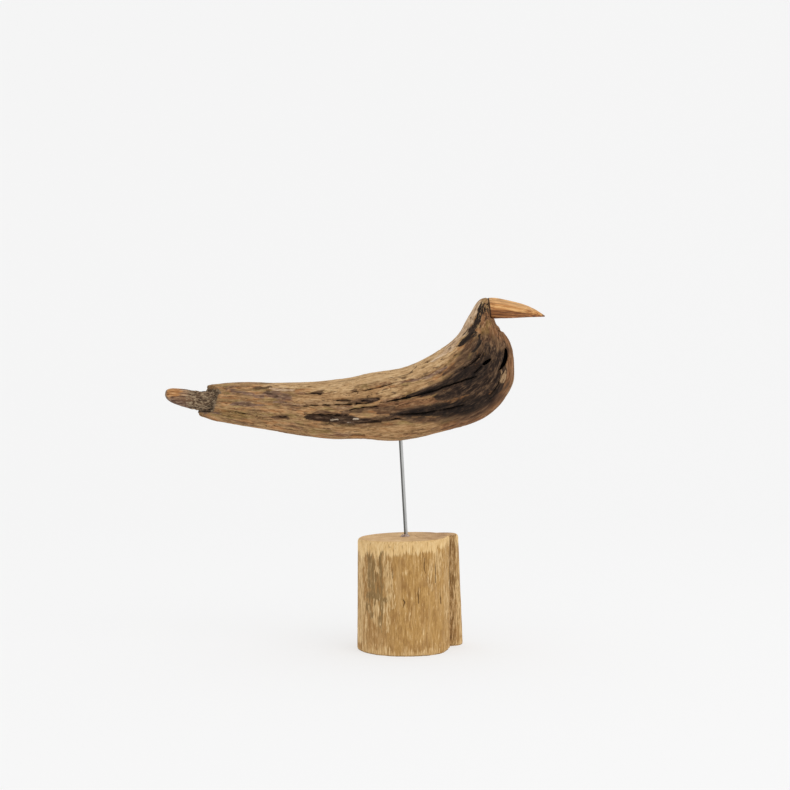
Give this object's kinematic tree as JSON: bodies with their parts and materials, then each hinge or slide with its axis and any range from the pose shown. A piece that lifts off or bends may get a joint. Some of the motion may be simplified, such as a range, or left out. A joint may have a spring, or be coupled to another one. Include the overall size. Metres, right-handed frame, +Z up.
{
  "type": "driftwood bird sculpture",
  "caption": "Driftwood shorebird with a carved beak and an inserted tail, turning on a thin leaning steel rod that stands in a sawn log base.",
  "frame": {"origin": "on the underside of the log, straight below the place where the rod enters its top face", "axes": "+X from the tail to the beak, +Y to the bird's left, +Z up"},
  "size_m": [0.4034, 0.1015, 0.3714],
  "materials": {
    "log_wood": "bare weathered wood, sanded at the edges",
    "rod_steel": "bright drawn rod",
    "glue": "set glue with wood dust",
    "driftwood": "bare driftwood, checked and partly charred",
    "tail_wood": "bare worn wood",
    "beak_wood": "carved and oiled softwood",
    "pin_wood": "plain dowel"
  },
  "bodies": {
    "base": {"base_log": "log_wood", "support_rod": "rod_steel", "rod_glue": "glue"},
    "bird": {"bird_body": "driftwood", "tail": "tail_wood", "beak": "beak_wood", "beak_pin": "pin_wood"}
  },
  "joints": [
    {"name": "bird_swivel", "type": "hinge", "parent": "base", "child": "bird", "pos_m": [-0.00558, 0, 0.21834], "axis": [-0.0558, 0, 0.9984], "continuous": true}
  ]
}
